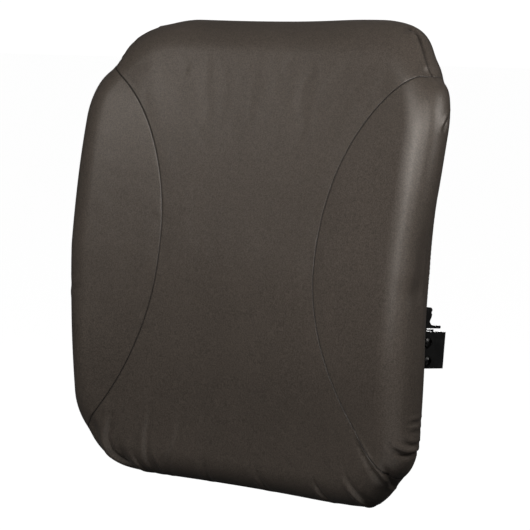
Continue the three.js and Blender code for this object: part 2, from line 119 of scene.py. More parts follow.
def smooth(t):
    t = np.clip(t, 0, 1)
    return t * t * (3 - 2 * t)


def bell(t):
    return np.exp(-t * t)


def inset_and_outward(flat):
    """How far in from the cushion's outline points lie, and the outward direction, laid flat."""
    x, z = flat[:, 0], flat[:, 1]
    high = z > HEIGHT / 2
    r = np.where(high, CORNER_TOP, CORNER_BOTTOM)
    qx = np.abs(x) - (HALF_WIDTH - r)
    qz = np.where(high, z - (HEIGHT - r), r - z)
    corner = (qx > 0) & (qz > 0)
    d = np.hypot(np.maximum(qx, 0), np.maximum(qz, 0))
    inset = np.where(corner, r - d, r - np.maximum(qx, qz))
    safe = np.maximum(d, 1e-9)
    out = np.zeros_like(flat)
    out[:, 0] = np.where(corner, np.sign(x) * qx / safe, np.where(qx > qz, np.sign(x), 0))
    vertical = np.where(high, 1.0, -1.0)
    out[:, 1] = np.where(corner, vertical * qz / safe, np.where(qx > qz, 0, vertical))
    return inset, out


def wrap(flat):
    """Takes points of the laid-flat cover to their place on the cushion."""
    inset, out = inset_and_outward(flat)
    e = np.maximum(FRONT_ROUND - inset, 0)
    a = np.clip(e / FRONT_ROUND, 0, math.pi / 2)
    b = np.clip((e - FRONT_ARC) / REAR_ROUND, 0, math.pi / 2)
    tail = np.maximum(e - FRONT_ARC - REAR_ARC, 0)
    rear_reach = FRONT_ROUND - REAR_ROUND * (1 - np.cos(b)) - tail
    reach = np.where(e <= FRONT_ARC, FRONT_ROUND * np.sin(a), rear_reach)
    q = flat + out * (reach - e)[:, None]
    x, z = q[:, 0], q[:, 1]
    x = x * (1 - TAPER * np.clip(1 - 2 * z / HEIGHT, 0, 1))
    depth = rear_y(x, z) - REAR_ROUND - front_y(x, z) - FRONT_ROUND  # flat part of the side
    front = front_y(x, z) + FRONT_ROUND * (1 - np.cos(a)) + smooth(e / FRONT_ARC) * depth
    rear = rear_y(x, z) - REAR_ROUND + REAR_ROUND * np.sin(b)
    return np.stack([x, np.where(e <= FRONT_ARC, front, rear), z], 1) + SHIFT


def wrap_normals(flat):
    along_x = wrap(flat + [NORMAL_STEP, 0]) - wrap(flat - [NORMAL_STEP, 0])
    along_z = wrap(flat + [0, NORMAL_STEP]) - wrap(flat - [0, NORMAL_STEP])
    n = np.cross(along_x, along_z)
    return n / np.linalg.norm(n, axis=1)[:, None]


# ---- seam lines in the laid-flat plane, for the right side ----
WAIST_X, WAIST_Z = 101 * MM, 258 * MM
TOP_ARC = (155 * MM, 201 * MM)  # semi-axes of the elliptical upper half
LOW_SPREAD, LOW_REACH, LOW_POWER = 121.4 * MM, 225 * MM, 2.1
DART = np.array([[217, 453], [205, 463], [193, 477], [181, 491], [168, 500]]) * MM
DART_LENGTH = np.linalg.norm(DART[-1] - DART[0])
SEAM_STEP = 2 * MM
CURVE_POINTS = 200


def length_along(line):
    """The length of a line of points from its start to each of them."""
    return np.r_[0, np.cumsum(np.linalg.norm(np.diff(line, axis=0), axis=1))]


def points_at(line, lengths):
    """Points of a line at given lengths from its start."""
    s = length_along(line)
    return np.stack([np.interp(lengths, s, line[:, 0]), np.interp(lengths, s, line[:, 1])], 1)


def resample(line, step):
    end = length_along(line)[-1]
    return points_at(line, np.linspace(0, end, int(end / step) + 1))


def seam_line():
    """The seam from beyond the hem at the bottom, up past the waist, to beyond the hem at the side."""
    drop = np.linspace(1, 0, CURVE_POINTS)
    low = np.stack([WAIST_X + LOW_SPREAD * drop ** LOW_POWER, WAIST_Z - LOW_REACH * drop], 1)
    heading = (low[0] - low[1]) / np.linalg.norm(low[0] - low[1])
    turn = np.linspace(0, math.pi / 2, CURVE_POINTS)[1:]
    across, rise = TOP_ARC
    high = np.stack([WAIST_X + across * (1 - np.cos(turn)), WAIST_Z + rise * np.sin(turn)], 1)
    line = np.concatenate([[low[0] + heading * SPAN], low, high, [high[-1] + [SPAN, 0]]])
    line = resample(line, SEAM_STEP)
    inset, _ = inset_and_outward(line)
    return line[inset > HEM_INSET - SEAM_STEP]


SEAM = seam_line()
DART_LINE = resample(DART, SEAM_STEP)


def near_line(flat, line):
    """Signed distance to a line, positive to its right going along, and the length along it."""
    a, d = line[:-1], np.diff(line, axis=0)
    size = np.linalg.norm(d, axis=1)
    starts = length_along(line)
    best = np.full(len(flat), 1e9)
    along = np.zeros(len(flat))
    for i in range(len(a)):
        rel = flat - a[i]
        t = np.clip(rel @ d[i] / size[i] ** 2, 0, 1)
        off = rel - t[:, None] * d[i]
        distance = np.hypot(off[:, 0], off[:, 1])
        side = np.where(rel[:, 0] * d[i, 1] < rel[:, 1] * d[i, 0], -1, 1)
        closer = distance < np.abs(best)
        best = np.where(closer, side * distance, best)
        along = np.where(closer, starts[i] + t * size[i], along)
    return best, along


def right_half(flat):
    """The same points mirrored to the right side, where the seam and dart are drawn."""
    return np.stack([np.abs(flat[:, 0]), flat[:, 1]], 1)


def outboard_of_seam(p):
    """True for points on the side panel's side of the seam."""
    middle = 0.6  # well clear of the cover on the outboard side
    loop = np.concatenate([SEAM, [[middle, SEAM[-1, 1]], [middle, SEAM[0, 1]]]])
    x, z = np.abs(p[:, 0]), p[:, 1]
    inside = np.zeros(len(p), bool)
    for a, b in zip(loop, np.roll(loop, -1, axis=0)):
        crosses = (a[1] > z) != (b[1] > z)
        with np.errstate(divide="ignore", invalid="ignore"):
            at = a[0] + (z - a[1]) / (b[1] - a[1]) * (b[0] - a[0])
        inside ^= crosses & (x < at)
    return inside


# ---- value noise, the same in every run ----
NOISE_TABLE = 64


def noise(u, v, seed):
    """Smooth noise from -1 to 1 with a period near 1 in u and v."""
    table = np.random.default_rng(seed).uniform(-1, 1, (NOISE_TABLE, NOISE_TABLE))
    i, j = np.floor(u).astype(int), np.floor(v).astype(int)
    s, t = smooth(u - i), smooth(v - j)

    def pick(a, b):
        return table[a % NOISE_TABLE, b % NOISE_TABLE]

    low = pick(i, j) * (1 - s) + pick(i + 1, j) * s
    high = pick(i, j + 1) * (1 - s) + pick(i + 1, j + 1) * s
    return low * (1 - t) + high * t


def noise_along(length, period, side, seed):
    """The same noise along a line, different on each side."""
    return noise(length / period, length * 0 + side, seed)


# ---- cloth simulation: the slack of the cover settles into folds over the foam ----
GRID = 5 * MM
GRID_X = np.arange(-60, 61) * GRID
GRID_Z = np.arange(-14, 115) * GRID
SLACK = 0.05  # most that the cloth is longer than the foam under it
CLOTH_FRAMES = 30
RIPPLE_PERIOD, RIPPLE = 9 * MM, 0.25 * MM  # faint start shape that the folds grow from
FOLD_CAP = 7 * MM
FOAM_GIVE = 2 * MM  # how far the foam gives under the cloth
ACROSS_SHARE = 0.5  # share kept of the cloth's movement along the foam

# Where the cover is loose: its place across and up, its reach across and up, and how loose.
LOOSE_CORNERS = (
    (180 * MM, -5 * MM, 60 * MM, 45 * MM, 1.0),
    (215 * MM, 480 * MM, 40 * MM, 40 * MM, 0.4),
)
LOOSE_HEM = (-35 * MM, 20 * MM, 0.4)  # the inset it is centred on, its reach, and how loose
LOOSE_ALL_OVER = 0.02
TACK_REACH, TACK_HOLD, FOAM_HOLD, HEM_HOLD_WIDTH = 6 * MM, 0.5, 0.10, 12 * MM


def slack_map(flat):
    """Where the cover is loose, from 0 to 1: at the lower corners, along the hem and beside the darts."""
    x, z = np.abs(flat[:, 0]), flat[:, 1]
    inset, _ = inset_and_outward(flat)
    middle, reach, loose = LOOSE_HEM
    parts = [loose * bell((inset - middle) / reach)]
    for across, up, reach_across, reach_up, loose in LOOSE_CORNERS:
        parts.append(loose * bell((x - across) / reach_across) * bell((z - up) / reach_up))
    return np.clip(np.maximum.reduce(parts) + LOOSE_ALL_OVER, 0, 1)


def hold_map(flat):
    """How firmly the cover is held to the foam: fully at the hem, by the seams, lightly elsewhere."""
    inset, _ = inset_and_outward(flat)
    seam, _ = near_line(right_half(flat), SEAM)
    tack = TACK_HOLD * bell(seam / TACK_REACH)
    hem = smooth(1 - (inset - HEM_INSET) / HEM_HOLD_WIDTH)
    return np.clip(np.maximum.reduce([tack, hem, np.full(len(flat), FOAM_HOLD)]), 0, 1)


def cloth_grid(points, quads, weights):
    """The cover as a grid of quads, with a vertex group for each set of weights."""
    mesh = bpy.data.meshes.new("cloth_grid")
    mesh.from_pydata(points.tolist(), [], quads.tolist())
    grid = bpy.data.objects.new("cloth_grid", mesh)
    bpy.context.scene.collection.objects.link(grid)
    for name, values in weights.items():
        group = grid.vertex_groups.new(name=name)
        for i, value in enumerate(values):
            group.add([i], float(value), "REPLACE")
    return grid


def settle(grid):
    """Runs the cloth on the grid and gives its points at the end."""
    cloth = grid.modifiers.new("cloth", "CLOTH")
    s = cloth.settings
    s.quality = 8
    s.mass = 0.15
    s.tension_stiffness = s.compression_stiffness = 25
    s.shear_stiffness = 10
    s.bending_stiffness = 0.4
    s.effector_weights.gravity = 0
    s.vertex_group_mass = "hold"
    s.pin_stiffness = 1
    s.vertex_group_shrink = "slack"
    s.shrink_min, s.shrink_max = 0, -SLACK
    s.use_pressure = True
    s.uniform_pressure_force = 0.4
    cloth.collision_settings.use_collision = False
    cloth.point_cache.frame_end = CLOTH_FRAMES
    for step in range(CLOTH_FRAMES):
        bpy.context.scene.frame_set(step + 1)
    settled = grid.evaluated_get(bpy.context.evaluated_depsgraph_get()).data
    end = np.zeros(len(settled.vertices) * 3)
    settled.vertices.foreach_get("co", end)
    bpy.context.scene.frame_set(1)
    return end.reshape(-1, 3)


def cloth_folds():
    """Movement of the cover's grid of points from the foam's plain surface, as an array over the grid."""
    gx, gz = np.meshgrid(GRID_X, GRID_Z, indexing="ij")
    flat = np.stack([gx.ravel(), gz.ravel()], 1)
    field = np.zeros((len(GRID_X), len(GRID_Z), 3))
    inset, _ = inset_and_outward(flat)
    inside = inset > HEM_INSET - GRID / 2
    index = np.full(len(flat), -1)
    index[inside] = np.arange(inside.sum())
    index = index.reshape(gx.shape)
    corners = np.stack([index[:-1, :-1], index[1:, :-1], index[1:, 1:], index[:-1, 1:]], -1).reshape(-1, 4)
    quads = corners[(corners >= 0).all(1)]
    used = flat[inside]
    normals = wrap_normals(used)
    ripple = noise(used[:, 0] / RIPPLE_PERIOD, used[:, 1] / RIPPLE_PERIOD, 3) * RIPPLE
    start = wrap(used) + normals * ripple[:, None]
    grid = cloth_grid(start, quads, {"hold": hold_map(used), "slack": slack_map(used)})
    move = settle(grid) - start
    bpy.data.objects.remove(grid)
    outward = (move * normals).sum(1)
    across = move - normals * outward[:, None]
    outward = np.where(outward < 0, -FOAM_GIVE * np.tanh(-outward / FOAM_GIVE), outward)
    outward = FOLD_CAP * np.tanh(outward / FOLD_CAP)
    field.reshape(-1, 3)[inside] = normals * outward[:, None] + across * ACROSS_SHARE
    return field


def cubic_weights(t):
    """Weights of the four grid points round a place, for a smooth curve through them."""
    return [
        -0.5 * t + t ** 2 - 0.5 * t ** 3,
        1 - 2.5 * t ** 2 + 1.5 * t ** 3,
        0.5 * t + 2 * t ** 2 - 1.5 * t ** 3,
        -0.5 * t ** 2 + 0.5 * t ** 3,
    ]


def sample_field(field, flat):
    """Cubic interpolation of the grid's movement at points of the laid-flat plane."""
    u = np.clip((flat[:, 0] - GRID_X[0]) / GRID, 1, len(GRID_X) - 3.001)
    v = np.clip((flat[:, 1] - GRID_Z[0]) / GRID, 1, len(GRID_Z) - 3.001)
    i, j = np.floor(u).astype(int), np.floor(v).astype(int)
    total = np.zeros((len(flat), 3))
    for a, wa in enumerate(cubic_weights(u - i)):
        for b, wb in enumerate(cubic_weights(v - j)):
            total += (wa * wb)[:, None] * field[i + a - 1, j + b - 1]
    return total


FOLDS = cloth_folds()

# ---- the cover's surface: seams, darts and listed folds on top of the simulated slack ----
# Each fold: points along it (mm, laid flat), width, height of its ridge, depth of the hollow to its right.
PLACED_FOLDS = (
    ([(172, 84), (186, 67), (198, 52), (207, 38), (213, 28)], 3.0, 2.0, 2.8),
    ([(206, 56), (212, 42), (216, 24), (220, 8)], 3.0, -3.2, -2.0),
    ([(218, 79), (232, 70), (256, 66)], 2.8, 2.6, 3.6),
    ([(228, 86), (240, 80), (256, 78)], 2.2, 1.4, 1.6),
    ([(233, 104), (256, 104)], 2.2, 1.2, 1.5),
    ([(235, 95), (256, 95)], 2.2, 1.2, 1.5),
    ([(112, 26), (118, 12), (124, -4)], 2.6, -2.8, -1.8),
    ([(156, 40), (168, 24), (177, 8), (183, -14)], 3.0, -3.4, -2.2),
    ([(176, 22), (183, 8), (188, -10)], 2.2, -2.2, -1.4),
    ([(-163, 66), (-172, 40), (-170, 22), (-158, 4), (-146, -14)], 3.8, -4.6, -2.2),
    ([(-110, 82), (-119, 46), (-121, 20), (-117, -6)], 3.4, -2.0, -1.3),
    ([(-66, 80), (-80, 42), (-92, 22), (-100, -4)], 4.0, -1.6, -1.0),
    ([(-112, 30), (-107, 16), (-106, -4)], 2.6, 1.3, 1.0),
    ([(-140, 30), (-134, 10), (-130, -12)], 2.6, -1.6, -1.2),
    ([(-40, 30), (-44, 12), (-46, -8)], 3.4, -1.4, -1.0),
    ([(30, 28), (34, 12), (36, -8)], 3.4, -1.2, -0.9),
    ([(252, 411), (247, 402), (243, 391)], 2.2, -2.6, -1.4),
    ([(-226, 206), (-212, 201), (-196, 203)], 4.0, -1.0, -0.6),
)

# Each swell or dent of the form: its place (mm, laid flat), its reach across and up, its height.
SWELLS = (
    ((20, 236), (200, 52), 4.0),
    ((245, 250), (30, 62), -9.8),
    ((222, 185), (14, 125), 2.8),
    ((236, 232), (16, 12), -2.0),
    ((214, 470), (24, 26), -4.5),
    ((176, 508), (34, 20), 3.0),
    ((218, 18), (20, 20), -5.0),
    ((180, -14), (14, 24), 1.8),
    ((-192, 446), (30, 22), -3.5),
    ((-45, 503), (115, 24), -3.0),
    ((-185, 492), (22, 22), 2.0),
    ((-152, -4), (26, 18), -1.5),
    ((-200, 52), (20, 24), -3.2),
    ((-193, 44), (8, 14), -3.2),
    ((-178, 26), (8, 14), 1.5),
    ((-156, 14), (7, 20), -3.5),
    ((-138, 6), (8, 14), 1.5),
    ((167, 499), (6, 5), -3.5),
    ((95, 512), (55, 18), 2.0),
    ((148, -6), (26, 20), -1.6),
)

LINE_DEPTH, LINE_REACH = 0.32 * MM, 0.6 * MM  # the stitched line itself
VALLEY_DEPTH, VALLEY_REACH = 0.08 * MM, 4 * MM  # the cloth drawn down beside it
NOTCH_DEPTH, NOTCH_EASE, NOTCH_REACH = 3.4 * MM, 2.6 * MM, 13 * MM  # where it goes round the edge
PUCKER, PUCKER_PERIOD, PUCKER_PLACE = 0.22 * MM, 11 * MM, 5 * MM
EDGE_START, EDGE_BLEND = 14 * MM, 16 * MM
LOW_SEAM_TOP, LOW_SEAM_BLEND = 200 * MM, 60 * MM  # below this the seam pulls the edge in less
LEFT_DART_OPEN = 0.15  # the left dart is drawn nearly shut
PAN_EDGE, PAN_BLEND = 31 * MM, 10 * MM  # how far behind the edge the cloth comes onto the hard pan


def mound(distance, height, reach):
    """A rounded rise that is highest at distance 0."""
    return height * bell(distance / reach)


def dart_open(flat, dart_along):
    """From 0 where the dart starts in the seam to its most at the open end at the top."""
    return smooth(dart_along / DART_LENGTH) * np.where(flat[:, 0] > 0, 1, LEFT_DART_OPEN)


def seam_relief(flat):
    """The stitched seam: its line, valley and puckers, and its notch in the edge."""
    inset, _ = inset_and_outward(flat)
    seam, along = near_line(right_half(flat), SEAM)
    d = np.abs(seam)
    over_edge = smooth((EDGE_START - inset) / EDGE_BLEND)
    low_end = smooth((LOW_SEAM_TOP - flat[:, 1]) / LOW_SEAM_BLEND)
    notch = over_edge * (NOTCH_DEPTH - NOTCH_EASE * low_end)
    pucker = noise_along(along, PUCKER_PERIOD, np.sign(flat[:, 0]) * 7, 11)
    pucker = pucker * mound(d - PUCKER_PLACE, PUCKER, PUCKER_PLACE)
    sunk = mound(d, LINE_DEPTH, LINE_REACH) + mound(d, VALLEY_DEPTH, VALLEY_REACH)
    return pucker - sunk - mound(d, notch, NOTCH_REACH)


def dart_relief(flat):
    """The dart: its line, the hollow on its outer side, and the gathered ridge on its inner side."""
    dart, along = near_line(right_half(flat), DART_LINE)
    wide = dart_open(flat, along)
    line = mound(dart, 1.0 * MM, 0.8 * MM)
    hollow = mound(dart - 2.6 * MM, (0.9 + 3.4 * wide) * MM, 2.6 * MM)
    ridge = mound(dart + 2.4 * MM, (0.6 + 1.6 * wide) * MM, 2.0 * MM)
    gather = noise_along(along, 3.6 * MM, np.sign(flat[:, 0]) * 5, 37)
    gather = gather * mound(dart + 5 * MM, (0.7 - 0.42 * wide) * MM, 5.5 * MM)
    return ridge + gather - line - hollow


def fold_height(flat, points, width, ridge, hollow):
    line = resample(np.array(points, float) * MM, 2 * MM)
    d, along = near_line(flat, line)
    share = along / np.linalg.norm(np.diff(line, axis=0), axis=1).sum()
    fade = np.sin(math.pi * np.clip(share, 0.04, 0.96)) ** 0.6
    w = width * MM
    return fade * (ridge * bell(d / w) - hollow * bell((d - 1.7 * w) / (1.2 * w))) * MM


def swell_height(flat, place, reach, height):
    across = (flat[:, 0] / MM - place[0]) / reach[0]
    up = (flat[:, 1] / MM - place[1]) / reach[1]
    return height * MM * bell(np.hypot(across, up))


def relief(flat):
    """Height of the sewn detail and the standing folds above the cover's plain surface."""
    h = seam_relief(flat) + dart_relief(flat)
    for fold in PLACED_FOLDS:
        h += fold_height(flat, *fold)
    for swell in SWELLS:
        h += swell_height(flat, *swell)
    inset, _ = inset_and_outward(flat)
    on_pan = smooth((-inset - PAN_EDGE) / PAN_BLEND)
    return np.where(h < 0, h * (1 - on_pan), h)


def painted_seam_shade(flat):
    """Painted shade in the seam lines and in the dart's hollow, from 0 to 1: how far the cloth's colour is
    darkened where shade falls.
    """
    seam, _ = near_line(right_half(flat), SEAM)
    dart, along = near_line(right_half(flat), DART_LINE)
    # painted shade: the cloth darkened along the seam and dart lines
    line = mound(np.minimum(np.abs(seam), np.abs(dart)), 0.92, 0.7 * MM)
    # painted shade in the dart's hollow, deepest at its open end
    hollow = mound(dart - 2.0 * MM, 0.6 * dart_open(flat, along), 1.9 * MM)
    return np.maximum(line, hollow)


def surface_points(flat):
    n = wrap_normals(flat)
    return wrap(flat) + sample_field(FOLDS, flat) + n * relief(flat)[:, None], n


# ---- triangles of the laid-flat cover, finer beside the seams ----
MESH_STEP = 2.8 * MM
BAND = np.array([0.8, 1.8, 3.2, 5.5]) * MM  # rows of points beside a seam
ROW_CLEAR = 1.5 * MM  # least gap from those rows to the hem and to another seam
FIELD_CLEAR = 0.6 * MESH_STEP
ARC_POINTS = 60


def offset_line(line, d):
    heading = np.gradient(line, axis=0)
    heading /= np.linalg.norm(heading, axis=1)[:, None]
    return line + np.stack([heading[:, 1], -heading[:, 0]], 1) * d


def hem_loop(step):
    """The hem in the laid-flat plane, anticlockwise."""
    points = []
    corners = ((1, -1, -90), (1, 1, 0), (-1, 1, 90), (-1, -1, 180))
    for right, up, start in corners:
        r = CORNER_TOP if up > 0 else CORNER_BOTTOM
        cx = right * (HALF_WIDTH - r)
        cz = HEIGHT - r if up > 0 else r
        turn = np.radians(start + np.linspace(0, 90, ARC_POINTS))
        reach = r - HEM_INSET
        points.append(np.stack([cx + reach * np.cos(turn), cz + reach * np.sin(turn)], 1))
    loop = np.concatenate(points)
    return resample(np.concatenate([loop, loop[:1]]), step)[:-1]


def clear_of(points, line, gap):
    """The points that stand further than gap outside a seam's rows."""
    return points[np.abs(near_line(right_half(points), line)[0]) > BAND[-1] + gap]


def clear_of_hem(points, gap):
    return points[inset_and_outward(points)[0] > HEM_INSET + gap]


def seam_rows():
    """Rows of points beside the right seam, and on and beside the right dart."""
    rows = [clear_of_hem(offset_line(SEAM, d), ROW_CLEAR) for d in np.r_[-BAND, BAND]]
    for d in np.r_[-BAND, 0, BAND]:
        row = clear_of_hem(offset_line(DART_LINE, d), ROW_CLEAR)
        rows.append(clear_of(row, SEAM, ROW_CLEAR))
    return rows


def open_field():
    """An even triangular pattern of points over the rest of the cover."""
    xs = np.arange(GRID_X[0], GRID_X[-1], MESH_STEP)
    zs = np.arange(GRID_Z[0], GRID_Z[-1], MESH_STEP * math.sqrt(3) / 2)
    gx, gz = np.meshgrid(xs, zs)
    gx = gx + (np.arange(len(zs)) % 2)[:, None] * MESH_STEP / 2
    points = clear_of_hem(np.stack([gx.ravel(), gz.ravel()], 1), FIELD_CLEAR)
    return clear_of(clear_of(points, SEAM, FIELD_CLEAR), DART_LINE, FIELD_CLEAR)


def cover_triangles():
    """Points and triangles of the laid-flat cover."""
    sets = [hem_loop(MESH_STEP)]
    count = len(sets[0])
    edges = [(i, (i + 1) % count) for i in range(count)]
    for _, sign in SIDES:
        sets.append(SEAM * (sign, 1))
        edges += [(count + i, count + i + 1) for i in range(len(SEAM) - 1)]
        count += len(SEAM)
    for _, sign in SIDES:
        sets += [row * (sign, 1) for row in seam_rows()]
    sets.append(open_field())
    points = np.concatenate(sets)
    scale = 1000  # the triangulation's tolerances suit millimetres
    made = delaunay_2d_cdt([Vector(q) for q in points * scale], edges, [], 1, 1e-4)
    flat = np.array([tuple(v) for v in made[0]]) / scale
    return flat, np.array([f for f in made[2] if len(f) == 3])


FLAT, TRIANGLES = cover_triangles()
CENTRES = FLAT[TRIANGLES].mean(1)
ON_SIDE = outboard_of_seam(CENTRES)
SIDE_SIGN = np.sign(CENTRES[:, 0])
COVER_THICK = 1.6 * MM
RIM_TUCK = 0.12 * MM  # the cut edges of two joined panels stay this far inside their seam


def facing_out(tri, points, normals):
    """True for triangles that face the way the cover's normals point."""
    a, b, c = (points[tri[:, i]] for i in range(3))
    return (np.cross(b - a, c - a) * normals[tri[:, 0]]).sum(1) > 0


def rim_edges(tri):
    """The edges that only one triangle has, in that triangle's direction."""
    sides = np.concatenate([tri[:, [0, 1]], tri[:, [1, 2]], tri[:, [2, 0]]])
    keys = dict.fromkeys(map(tuple, sides.tolist()))
    return [(i, j) for i, j in keys if (j, i) not in keys]


def tuck_rim(points, normals, tri, rim):
    """Moves the rim's points a little in from the panel's edge, along the surface."""
    middle = np.zeros_like(points)
    weight = np.zeros(len(points))
    for i in range(3):
        ahead, behind = tri[:, (i + 1) % 3], tri[:, (i + 2) % 3]
        np.add.at(middle, tri[:, i], (points[ahead] + points[behind]) / 2)
        np.add.at(weight, tri[:, i], 1)
    on_rim = np.unique(np.array(rim))
    pull = middle[on_rim] / weight[on_rim][:, None] - points[on_rim]
    pull -= normals[on_rim] * (pull * normals[on_rim]).sum(1)[:, None]
    points[on_rim] += pull / np.maximum(np.linalg.norm(pull, axis=1), 1e-9)[:, None] * RIM_TUCK


def panel(name, triangles):
    """Closed piece of cloth from some of the cover's triangles."""
    used, index = np.unique(triangles, return_inverse=True)
    tri = index.reshape(-1, 3)
    flat = FLAT[used]
    outer, n = surface_points(flat)
    if facing_out(tri, outer, n).mean() < 0.5:
        tri = tri[:, ::-1]
    rim = rim_edges(tri)
    tuck_rim(outer, n, tri, rim)
    inner = outer - n * COVER_THICK
    k = len(outer)
    faces = tri.tolist() + (tri[:, ::-1] + k).tolist() + [[j, i, i + k, j + k] for i, j in rim]
    mesh = bpy.data.meshes.new(name)
    mesh.from_pydata(np.concatenate([outer, inner]).tolist(), [], faces)
    uv = mesh.uv_layers.new(name="flat")
    loops = np.zeros(len(mesh.loops), int)
    mesh.loops.foreach_get("vertex_index", loops)
    uv.data.foreach_set("uv", (flat[loops % k]).ravel())
    # painted shade for the seams and the dart's hollow, kept on each point
    shade = mesh.attributes.new("painted_seam_shade", "FLOAT", "POINT")
    shade.data.foreach_set("value", np.tile(painted_seam_shade(flat), 2).astype(np.float32))
    mesh.shade_smooth()
    piece = bpy.data.objects.new(name, mesh)
    bpy.context.scene.collection.objects.link(piece)
    return piece


def make_cover():
    pieces = [panel("cover_middle", TRIANGLES[~ON_SIDE])]
    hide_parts("cover_middle_panel")
    for side, sign in SIDES:
        piece = panel("cover_side_" + side, TRIANGLES[ON_SIDE & (SIDE_SIGN == sign)])
        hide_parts("cover_side_panel_" + side)
        pieces.append(piece)
    for piece in pieces:
        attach(piece, "back")
    return pieces


def mesh_piece(name, points, faces, material):
    mesh = bpy.data.meshes.new(name)
    mesh.from_pydata([tuple(p) for p in points], [], faces)
    mesh.shade_smooth()
    piece = bpy.data.objects.new(name, mesh)
    bpy.context.scene.collection.objects.link(piece)
    mesh.materials.append(material)
    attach(piece, "back")
    return piece


# ---- thread: dashes lying in the seams and darts ----
STITCH_PITCH, STITCH_LENGTH, THREAD = 3.2 * MM, 2.3 * MM, 0.2 * MM
DASH_SIDES = 6
DASH_PLACES, DASH_RADII = np.array([-1, -0.75, 0.75, 1]), np.array([0.35, 1, 1, 0.35])


def dash_faces(first):
    """Faces of one dash whose rings of points start at number first."""
    faces = []
    last = first + (len(DASH_PLACES) - 1) * DASH_SIDES
    for ring in range(first, last, DASH_SIDES):
        for i in range(DASH_SIDES):
            j = (i + 1) % DASH_SIDES
            faces.append([ring + i, ring + j, ring + DASH_SIDES + j, ring + DASH_SIDES + i])
    faces.append([first + i for i in reversed(range(DASH_SIDES))])
    faces.append([last + i for i in range(DASH_SIDES)])
    return faces


def dash_points(line):
    """Rings of points round each dash along a line of the laid-flat plane."""
    turn = np.arange(DASH_SIDES) * 2 * math.pi / DASH_SIDES
    middles = np.arange(STITCH_PITCH, length_along(line)[-1] - STITCH_PITCH, STITCH_PITCH)
    lengths = middles[:, None] + DASH_PLACES * STITCH_LENGTH / 2
    place, n = surface_points(points_at(line, lengths.ravel()))
    place = (place + n * THREAD * 0.6).reshape(len(middles), -1, 3)
    n = n.reshape(len(middles), -1, 3)
    along = place[:, -1] - place[:, 0]
    along /= np.linalg.norm(along, axis=1)[:, None]
    across = np.cross(n, along[:, None, :])
    ring = (
        np.cos(turn)[None, None, :, None] * across[:, :, None, :]
        + np.sin(turn)[None, None, :, None] * n[:, :, None, :]
    )
    rings = place[:, :, None, :] + ring * (THREAD * DASH_RADII)[None, :, None, None]
    return rings.reshape(-1, 3)


def stitches(name, lines, material):
    """Short rounded dashes of thread along lines of the laid-flat plane."""
    points = np.concatenate([dash_points(line) for line in lines])
    faces = []
    for first in range(0, len(points), len(DASH_PLACES) * DASH_SIDES):
        faces += dash_faces(first)
    return mesh_piece(name, points, faces, material)


def make_threads(material):
    pieces = []
    for side, sign in SIDES:
        piece = stitches("seam_thread_" + side, [SEAM * (sign, 1), DART_LINE * (sign, 1)], material)
        pieces.append(piece)
    return pieces


# ---- elastic binding: a ribbed tape folded over the cover's hem ----
BINDING_WIDTH, BINDING_THICK, BINDING_STEP = 8.4 * MM, 2.6 * MM, 0.6 * MM
BINDING_SIDES, BINDING_SQUARENESS = 14, 0.55
RIB_PITCH, RIB = 2.4 * MM, 0.16 * MM
WAVE_PERIOD, WAVE, WAVE_AT_CORNERS = 7 * MM, 0.15 * MM, 0.6 * MM


def near_corners(flat):
    """From 0 to 1 towards the cover's four corners."""
    across = bell((np.abs(flat[:, 0]) - 230 * MM) / (70 * MM))
    up = bell((np.abs(flat[:, 1] - HEIGHT / 2) - 255 * MM) / (80 * MM))
    return across * up


def squared(values):
    """A circle's cosines or sines, taken to a rounded rectangle's."""
    return np.sign(values) * np.abs(values) ** BINDING_SQUARENESS


def elastic_binding(material):
    loop = hem_loop(BINDING_STEP)
    place, n = surface_points(loop)
    _, out = inset_and_outward(loop)
    inward = wrap(loop + out * 0.5 * MM) - wrap(loop)
    inward /= np.linalg.norm(inward, axis=1)[:, None]
    s = np.arange(len(loop)) * BINDING_STEP
    wave = noise_along(s, WAVE_PERIOD, 0, 23) * (WAVE + WAVE_AT_CORNERS * near_corners(loop))
    rib = RIB * np.cos(2 * math.pi * s / RIB_PITCH)
    turn = np.arange(BINDING_SIDES) * 2 * math.pi / BINDING_SIDES
    u, v = squared(np.cos(turn)), squared(np.sin(turn))
    middle = place + n * (wave - COVER_THICK / 2)[:, None]
    rings = (
        middle[:, None, :]
        + inward[:, None, :] * (u * BINDING_WIDTH / 2)[None, :, None]
        + n[:, None, :] * (v[None, :] * (BINDING_THICK / 2 + rib[:, None]))[:, :, None]
    )
    faces = []
    for i in range(len(loop)):
        this, following = i * BINDING_SIDES, (i + 1) % len(loop) * BINDING_SIDES
        for k in range(BINDING_SIDES):
            m = (k + 1) % BINDING_SIDES
            faces.append([this + k, following + k, following + m, this + m])
    piece = mesh_piece("hem_elastic", rings.reshape(-1, 3), faces, material)
    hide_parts("cover_elastic_binding")
    return piece


# ---- foam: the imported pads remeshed, softened and pressed under the cover ----
FOAM_VOXEL = 4.5 * MM
FOAM_GAP = 2.4 * MM  # the foam bridges the narrowest folds of the cover
FOAM_PRESS = 12 * MM  # foam deeper than this under the cover is left where it is
FOAMS = (
    ("comfort_foam", "foam_comfort_layer", "soft_foam"),
    ("core_foam", "foam_core", "firm_foam"),
    ("bolster_foam_right", "foam_bolster_right", "firm_foam"),
    ("bolster_foam_left", "foam_bolster_left", "firm_foam"),
    ("lumbar_foam", "lumbar_pad", "soft_foam"),
)


def cover_tree():
    """The cover's outer faces, to hold the foam under them."""
    place, n = surface_points(FLAT)
    turned = ~facing_out(TRIANGLES, place, n)
    tri = np.where(turned[:, None], TRIANGLES[:, ::-1], TRIANGLES)
    return BVHTree.FromPolygons([Vector(p) for p in place], tri.tolist())


